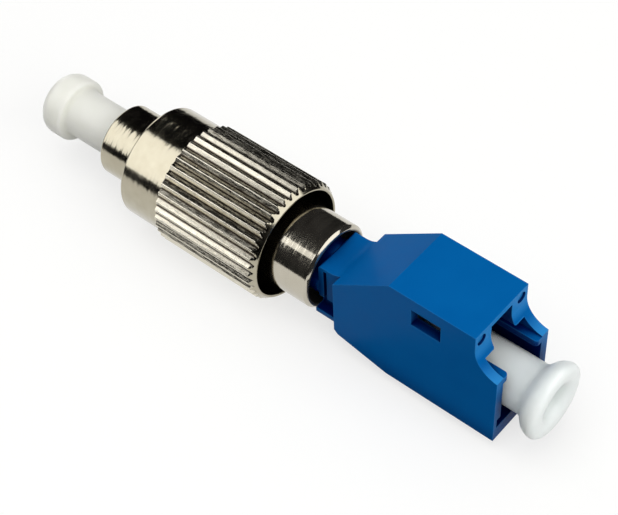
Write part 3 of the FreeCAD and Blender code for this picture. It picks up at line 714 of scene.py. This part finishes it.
nut_x, nut_radii = [], []
for x, radius in nut_outline:
    is_grip = KNURL_START <= x <= NUT_BACK and radius > OUTSIDE_LEVEL
    nut_x.append(x)
    nut_radii.append(np.minimum(radius, groove_radius(nut_angles)) if is_grip else radius)
thread_ends = SHOULDER_FRONT - THREAD_RUNOUT, NUT_FRONT + THREAD_LEAD_IN
for x in np.arange(*thread_ends, -THREAD_PITCH / THREAD_STEPS):
    nut_x.append(x)
    nut_radii.append(thread_radius(x, nut_angles))
nut_mesh = ring_mesh("knurled_coupling_nut", nut_x, nut_radii, nut_angles, True)
nut = add_piece("knurled_coupling_nut", nut_mesh, turned_nickel, "coupling_nut", "nut")
nut_mesh.materials.append(knurled_nickel)
for face in nut_mesh.polygons:
    is_behind_collar = face.center.x > KNURL_START * MM
    is_outside = math.hypot(face.center.y, face.center.z) > OUTSIDE_LEVEL * MM
    is_chamfer = face.normal.x > CHAMFER_LEAN
    face.material_index = 1 if is_behind_collar and is_outside and not is_chamfer else 0
weigh_normals(nut)

# %% [markdown]
# The dust cap of the plug end is a mushroom: a round head to pull on and a plain neck that slips
# over the ferrule into the barrel. The solid has its rounds in a few straight steps, so this piece
# is turned again with true rounds. A mould this simple leaves no more than a soft edge everywhere.

# %% Dust cap of the plug end

CAP_STEPS = 96
# An outline ends this close to the axis, and a small flat face closes it
AXIS_POINT = 0.02
HEAD_FRONT, HEAD_BACK, HEAD_RADIUS = -7.55, -5.15, 2.65
NECK_END, NECK_RADIUS = 2.4, 2.0
FERRULE_HOLE_END, FERRULE_HOLE = -5.2, 1.28

cap_angles = np.linspace(0, 2 * math.pi, CAP_STEPS, endpoint=False)
plug_cap_outline = rounded_outline([
    (HEAD_FRONT, AXIS_POINT, 0.0),
    (HEAD_FRONT, HEAD_RADIUS, 1.0),
    (HEAD_BACK, HEAD_RADIUS, 0.5),
    (HEAD_BACK, NECK_RADIUS, 0.35),
    (NECK_END, NECK_RADIUS, 0.15),
    (NECK_END, FERRULE_HOLE, 0.1),
    (FERRULE_HOLE_END, FERRULE_HOLE, 0.2),
    (FERRULE_HOLE_END, AXIS_POINT, 0.0),
])
plug_cap_mesh = ring_mesh("plug_end_cap", *zip(*plug_cap_outline), cap_angles, False)
add_piece("plug_end_cap", plug_cap_mesh, natural_pe, "fc_dust_cap", "fc_cap")

# %% [markdown]
# The dust cap of the socket end is a tube with a flared rim. The tube opens out in a short cone to
# a thick soft edge, and a dish leads into the blind hole in its face. The hole at the other end
# goes over the nose in the socket. All of that is one outline again, with generous rounds.

# %% Dust cap of the socket end

TUBE_END, TUBE_RADIUS = 27.8, 2.05
NOSE_HOLE_END, NOSE_HOLE = 33.0, 1.48
FLARE_START, FLARE_END, FLARE_FACE, FLARE_RADIUS = 39.25, 40.1, 41.15, 3.05
DISH_END, DISH_RADIUS = 39.75, 1.55
BLIND_HOLE_END, BLIND_HOLE = 37.6, 1.0

socket_cap_outline = rounded_outline([
    (NOSE_HOLE_END, AXIS_POINT, 0.0),
    (NOSE_HOLE_END, NOSE_HOLE, 0.2),
    (TUBE_END, NOSE_HOLE, 0.1),
    (TUBE_END, TUBE_RADIUS, 0.12),
    (FLARE_START, TUBE_RADIUS, 0.25),
    (FLARE_END, FLARE_RADIUS, 0.55),
    (FLARE_FACE, FLARE_RADIUS, 0.7),
    (FLARE_FACE, DISH_RADIUS, 0.6),
    (DISH_END, BLIND_HOLE, 0.7),
    (BLIND_HOLE_END, BLIND_HOLE, 0.3),
    (BLIND_HOLE_END, AXIS_POINT, 0.0),
])
socket_cap_mesh = ring_mesh("socket_end_cap", *zip(*socket_cap_outline), cap_angles, False)
add_piece("socket_end_cap", socket_cap_mesh, white_pe, "lc_dust_cap", "lc_cap")

# %% [markdown]
# Inside the barrel a coil of drawn spring wire pushes the ferrules forward. It is the one piece
# that changes its shape: a plug pushes the ferrules back, and the coil gets shorter by their
# travel. Here it is wound anew from round sections along a helix.

# %% Coil spring behind the ferrules

COIL_FRONT, COIL_BACK, COIL_SEAT = 5.65, 12.15, 12.2
COIL_RADIUS, WIRE_RADIUS, COIL_TURNS = 1.8, 0.17, 6.5
COIL_STEPS, WIRE_SIDES = 160, 12

wire_angles = np.linspace(0, 2 * math.pi, WIRE_SIDES, endpoint=False)
wire_radii = COIL_RADIUS + WIRE_RADIUS * np.cos(wire_angles)
wire_sway = WIRE_RADIUS * np.sin(wire_angles)
wire_ends = COIL_FRONT + WIRE_RADIUS, COIL_BACK - WIRE_RADIUS
coil_rings = []
for x, turn in zip(np.linspace(*wire_ends, COIL_STEPS), np.linspace(0, COIL_TURNS, COIL_STEPS)):
    angle = turn * 2 * math.pi
    coil_rings.append(np.column_stack(
        [x - wire_sway, wire_radii * math.cos(angle), wire_radii * math.sin(angle)]))
coil_mesh = joined_rings("coil_spring", coil_rings, False)
coil = add_piece("coil_spring", coil_mesh, wire, "ferrule_spring", "adapter_body")
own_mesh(coil)

# %% [markdown]
# The adapter lies on a pale table. Its floor must look white behind the object and still keep the
# soft shadow under it. So the table is a plain matt grey for the light that it throws back on the
# object, and it gains a share of white for whatever looks at it: the camera, a mirror or a clear
# piece. In the shadow only that share is left. Far from the object, where the lamps no longer
# reach, the share grows, so that the table runs into the white room without an edge.

# %% Pale table

WHITE = (1, 1, 1, 1)
SQUARE_CORNERS = ((-1, -1), (1, -1), (1, 1), (-1, 1))
# In metres: half the side of the table, and where its own white starts and stops growing
FLOOR_REACH = 1.0
LIT_REACH, UNLIT_REACH = 0.08, 0.4
NEAR_OWN_WHITE, FAR_OWN_WHITE = 0.66, 0.9


def seen_directly(tree):
    """1 for rays from the camera, a mirror or a clear piece, 0 for light bounced by matt pieces."""
    path = add_node(tree, "ShaderNodeLightPath", {}, {})
    either = add_node(tree, "ShaderNodeMath", {"operation": "MAXIMUM"},
                      {0: path.outputs["Is Camera Ray"], 1: path.outputs["Is Glossy Ray"]})
    return add_node(tree, "ShaderNodeMath", {"operation": "MAXIMUM"},
                    {0: either.outputs["Value"], 1: path.outputs["Is Transmission Ray"]}).outputs["Value"]


table = bpy.data.materials.new("table_pale_laminate")
table.use_nodes = True
tree = table.node_tree
tree.nodes.clear()
lit = add_node(tree, "ShaderNodeBsdfDiffuse", {"Color": linear("#A0A09E")}, {})
place = add_node(tree, "ShaderNodeTexCoord", {}, {})
away = add_node(tree, "ShaderNodeVectorMath", {"operation": "LENGTH"}, {0: place.outputs["Object"]})
own_white = add_node(tree, "ShaderNodeMapRange",
                     {"From Min": LIT_REACH, "From Max": UNLIT_REACH,
                      "To Min": NEAR_OWN_WHITE, "To Max": FAR_OWN_WHITE}, {"Value": away.outputs["Value"]})
share = add_node(tree, "ShaderNodeMath", {"operation": "MULTIPLY"},
                 {0: seen_directly(tree), 1: own_white.outputs["Result"]})
own = add_node(tree, "ShaderNodeEmission", {"Color": WHITE}, {"Strength": share.outputs["Value"]})
both = add_node(tree, "ShaderNodeAddShader", {}, {0: lit.outputs["BSDF"], 1: own.outputs["Emission"]})
add_node(tree, "ShaderNodeOutputMaterial", {}, {"Surface": both.outputs["Shader"]})

floor_z = cad_box[0][2]
middle = Vector((cad_box[0][i] + cad_box[1][i]) / 2 for i in range(3))
floor_mesh = bpy.data.meshes.new("table")
floor_corners = [(x * FLOOR_REACH, y * FLOOR_REACH, 0) for x, y in SQUARE_CORNERS]
floor_mesh.from_pydata(floor_corners, [], [(0, 1, 2, 3)])
floor_mesh.materials.append(table)
floor = bpy.data.objects.new("table", floor_mesh)
floor.location = (middle.x, middle.y, floor_z)
bpy.context.scene.collection.objects.link(floor)
print("table at", round(floor_z / MM, 3), "mm")

# %% [markdown]
# The room behind the table is white in the same way. Whatever looks at it sees plain white, while
# the light that it gives to the object is only a weak fill, so that the lamps can model the shapes.

# %% White surroundings

ROOM_FILL, ROOM_WHITE = 0.32, 1.0

world = bpy.data.worlds.new("white_room")
world.use_nodes = True
bpy.context.scene.world = world
tree = world.node_tree
tree.nodes.clear()
fill = add_node(tree, "ShaderNodeBackground", {"Color": WHITE, "Strength": ROOM_FILL}, {})
white = add_node(tree, "ShaderNodeBackground", {"Color": WHITE, "Strength": ROOM_WHITE}, {})
both = add_node(tree, "ShaderNodeMixShader", {},
                {0: seen_directly(tree), 1: fill.outputs["Background"], 2: white.outputs["Background"]})
add_node(tree, "ShaderNodeOutputWorld", {}, {"Surface": both.outputs["Shader"]})
print("fill from the room:", ROOM_FILL)

# %% [markdown]
# Polished metal only shows what stands around it. A studio hangs black cloth over the table and
# stands black cards round the object, so that a tube shows a black band, a lamp streak and the
# pale table just beside it. One more card lies on the table beside the socket and keeps the white
# of the table out of the gloss on its side. It narrows to a point towards the sleeve, whose end
# would mirror it otherwise. Cloth and cards are one mesh here that only mirrors see: the camera
# looks through it, and it throws no shadow.

# %% Black canopy that metal mirrors

# Radius of the hood in metres, its steps round and its rings up, from the lowest to the highest
CANOPY_RADIUS = 0.6
CANOPY_STEPS, CANOPY_RINGS = 48, 14
CANOPY_LOW, CANOPY_HIGH = math.radians(2), math.radians(88)
CARD_REACH_X, CARD_REACH_Y, CARD_HEIGHT = 75 * MM, 42 * MM, 14 * MM
LAID_CARD = ((23 * MM, -3.3 * MM), (39 * MM, -18 * MM), (39 * MM, -3.3 * MM))
LAID_CARD_LIFT = 0.05 * MM

cloth = bpy.data.materials.new("black_canopy_cloth")
cloth.use_nodes = True
cloth_shader = cloth.node_tree.nodes["Principled BSDF"]
cloth_shader.inputs["Base Color"].default_value = linear("#121214")
cloth_shader.inputs["Roughness"].default_value = 1.0
cloth_shader.inputs["Specular IOR Level"].default_value = 0.0

canopy_vertices, canopy_faces = [], []
for height in np.linspace(CANOPY_LOW, CANOPY_HIGH, CANOPY_RINGS):
    for turn in np.linspace(0, 2 * math.pi, CANOPY_STEPS, endpoint=False):
        flat = math.cos(height)
        direction = Vector((flat * math.cos(turn), flat * math.sin(turn), math.sin(height)))
        canopy_vertices.append(middle + direction * CANOPY_RADIUS)
for ring in range(CANOPY_RINGS - 1):
    for step in range(CANOPY_STEPS):
        low, side = ring * CANOPY_STEPS, (step + 1) % CANOPY_STEPS
        high = low + CANOPY_STEPS
        canopy_faces.append((low + step, high + step, high + side, low + side))
canopy_faces.append(tuple(range((CANOPY_RINGS - 1) * CANOPY_STEPS, CANOPY_RINGS * CANOPY_STEPS)))
fence = len(canopy_vertices)
for x, y in SQUARE_CORNERS:
    for z in (floor_z, floor_z + CARD_HEIGHT):
        canopy_vertices.append((middle.x + x * CARD_REACH_X, middle.y + y * CARD_REACH_Y, z))
for card in range(len(SQUARE_CORNERS)):
    low, side = fence + 2 * card, fence + 2 * ((card + 1) % len(SQUARE_CORNERS))
    canopy_faces.append((low, side, side + 1, low + 1))
laid_card = len(canopy_vertices)
for x, y in LAID_CARD:
    canopy_vertices.append((x, y, floor_z + LAID_CARD_LIFT))
canopy_faces.append(tuple(range(laid_card, laid_card + len(LAID_CARD))))
canopy_mesh = bpy.data.meshes.new("canopy")
canopy_mesh.from_pydata(canopy_vertices, [], canopy_faces)
canopy_mesh.materials.append(cloth)
canopy = bpy.data.objects.new("canopy", canopy_mesh)
bpy.context.scene.collection.objects.link(canopy)
canopy.visible_camera = False
canopy.visible_diffuse = False
canopy.visible_shadow = False
canopy.visible_transmission = False
print("canopy of", len(canopy_faces), "faces")

# %% [markdown]
# Metal is lit by what it mirrors and plastic by what falls on it, so each has its own lamps. The
# softbox for the metal is a tall oval to the front left: it draws one broad streak along the collar
# and the barrel and ends just before the sleeve, which mirrors a short strip beside it instead and
# so has a narrow streak. A wide window behind the socket end shows in the chamfers that face it,
# and a small one behind the plug end in the front edge of the collar. Four soft panels light the
# plastic: in metal they would blot out the dark that gives a tube its shape.

# %% Lamps

UPRIGHT, BACKWARD = (0, 0, 1), (0, 1, 0)
LEANING_BACK = (0, 0.777, 0.629)
METAL_LAMP_DISTANCE = 0.5
PANEL_DISTANCE, PANEL_SIZE = 0.45, 0.4

# name: outline, direction from the object, its upward edge, width and height in metres, level
METAL_LAMPS = {
    "metal_softbox": ("ELLIPSE", (-0.755, -0.412, 0.509), LEANING_BACK, 0.40, 0.60, 0.5),
    "sleeve_strip": ("RECTANGLE", (-0.43, -0.568, 0.701), LEANING_BACK, 0.05, 0.12, 0.0105),
    "socket_window": ("RECTANGLE", (0.69, 0.3, 0.66), (-0.66, 0, 0.69), 1.1, 0.72, 1.94),
    "plug_window": ("SQUARE", (-0.86, 0.42, 0.28), UPRIGHT, 0.22, 0.22, 0.14),
}
# name: direction from the object, its upward edge, level
PLASTIC_PANELS = {
    "front_panel": ((-0.1, -0.3, 0.95), UPRIGHT, 0.38),
    "socket_panel": ((0.9, -0.1, 0.42), UPRIGHT, 0.66),
    "plug_panel": ((-0.8, 0.2, 0.55), UPRIGHT, 0.2),
    "overhead_panel": ((0.1, 0.1, 1), BACKWARD, 0.1),
}


def add_lamp(name, shape, direction, upward, width, height, level, distance, for_metal):
    """Area lamp aimed at the object; level 1 alone would show a white card facing it as white."""
    lamp = bpy.data.lights.new(name, "AREA")
    lamp.shape = shape
    lamp.size = width
    lamp.size_y = height
    lamp.energy = level * math.pi ** 2 * distance ** 2
    holder = bpy.data.objects.new(name, lamp)
    away = Vector(direction).normalized()
    side = Vector(upward).cross(away).normalized()
    turn = Matrix((side, away.cross(side), away)).transposed()
    holder.matrix_world = Matrix.Translation(middle + away * distance) @ turn.to_4x4()
    holder.visible_glossy = for_metal
    holder.visible_diffuse = not for_metal
    bpy.context.scene.collection.objects.link(holder)
    print(f"{name}: {lamp.energy:.3f} W")


for name, settings in METAL_LAMPS.items():
    add_lamp(name, *settings, distance=METAL_LAMP_DISTANCE, for_metal=True)
for name, (direction, upward, level) in PLASTIC_PANELS.items():
    add_lamp(name, "SQUARE", direction, upward, PANEL_SIZE, PANEL_SIZE, level,
             distance=PANEL_DISTANCE, for_metal=False)

# %% [markdown]
# The camera stands where the photographer stood: high, to the front right, and far enough away
# for the tubes to stay nearly parallel. Its place was worked out from points of the adapter whose
# positions are known, so it is given by angles, a distance and the point that it looks at.

# %% Camera

AZIMUTH, ELEVATION, ROLL = math.radians(42.165), math.radians(49.955), math.radians(-3.054)
CAMERA_DISTANCE = 127.706 * MM
LOOK_AT = Vector((18.695, 0.0, -0.748)) * MM
# Blender counts both in millimetres
SENSOR_WIDTH, FOCAL_LENGTH = 36.0, 99.04
NEAREST_SEEN = 1 * MM

camera_data = bpy.data.cameras.new("camera")
camera_data.sensor_width = SENSOR_WIDTH
camera_data.lens = FOCAL_LENGTH
camera_data.clip_start = NEAREST_SEEN
camera = bpy.data.objects.new("camera", camera_data)
bpy.context.scene.collection.objects.link(camera)
bpy.context.scene.camera = camera

back = Vector((math.sin(AZIMUTH) * math.cos(ELEVATION), -math.cos(AZIMUTH) * math.cos(ELEVATION),
               math.sin(ELEVATION)))
level_right = Vector((math.cos(AZIMUTH), math.sin(AZIMUTH), 0))
level_up = back.cross(level_right)
right = math.cos(ROLL) * level_right + math.sin(ROLL) * level_up
up = -math.sin(ROLL) * level_right + math.cos(ROLL) * level_up
turn = Matrix((right, up, back)).transposed()
camera.matrix_world = Matrix.Translation(LOOK_AT + back * CAMERA_DISTANCE) @ turn.to_4x4()
bpy.context.scene.view_settings.view_transform = "Standard"
print("camera at", [round(value / MM, 1) for value in camera.matrix_world.translation], "mm")

# %% [markdown]
# Last, the box of the solids is printed in millimetres. The finished look has to stay in this box,
# because the box is what a shelf, a drawer or another model will count on.

# %% Print the box of the solids
print("box of the solids in mm:", [[round(value / MM, 3) for value in corner] for corner in cad_box])
